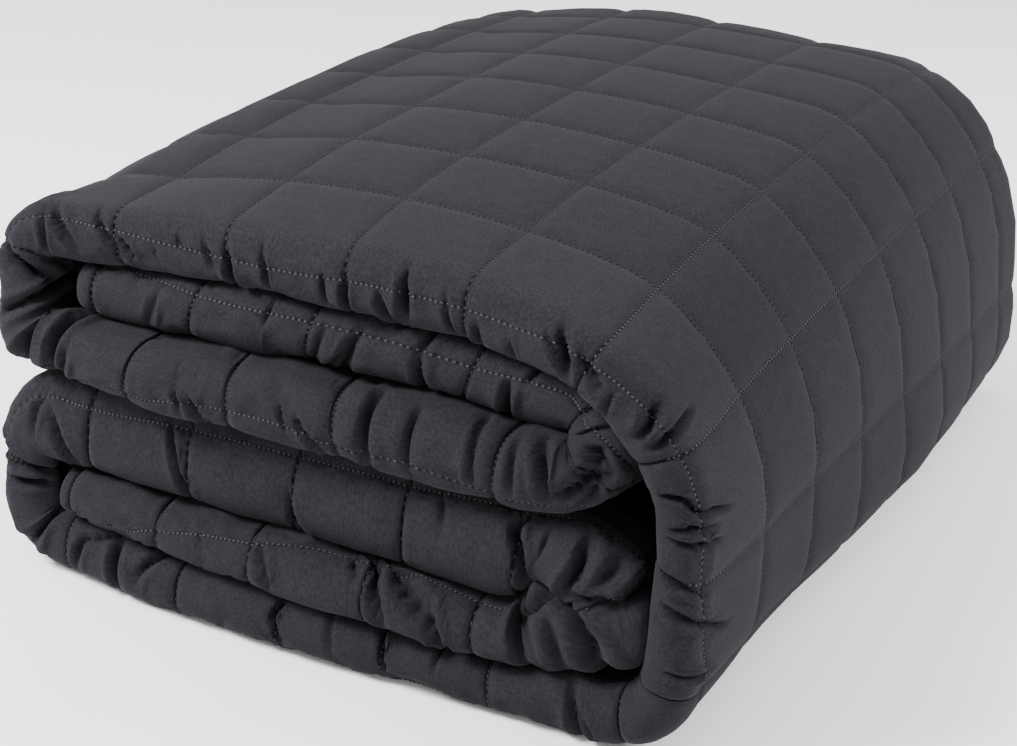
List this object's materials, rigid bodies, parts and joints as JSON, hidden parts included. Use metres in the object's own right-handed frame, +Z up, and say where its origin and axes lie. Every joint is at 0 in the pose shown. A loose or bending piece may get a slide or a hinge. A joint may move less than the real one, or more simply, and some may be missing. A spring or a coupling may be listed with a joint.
{
  "type": "folded quilted weighted blanket",
  "caption": "Dark grey quilted blanket with a soft nap, folded in thirds and then into a thick stack of tiers with one big rounded fold.",
  "frame": {"origin": "middle of the underside that the bundle rests on", "axes": "+X from the open folds towards the one big rounded fold, +Y from the layered front edge towards the back, +Z up through the tiers"},
  "size_m": [0.3176, 0.4108, 0.1736],
  "materials": {
    "charcoal_microfibre": "matt"
  },
  "bodies": {
    "root": {"weighted_blanket": "charcoal_microfibre"}
  },
  "joints": []
}
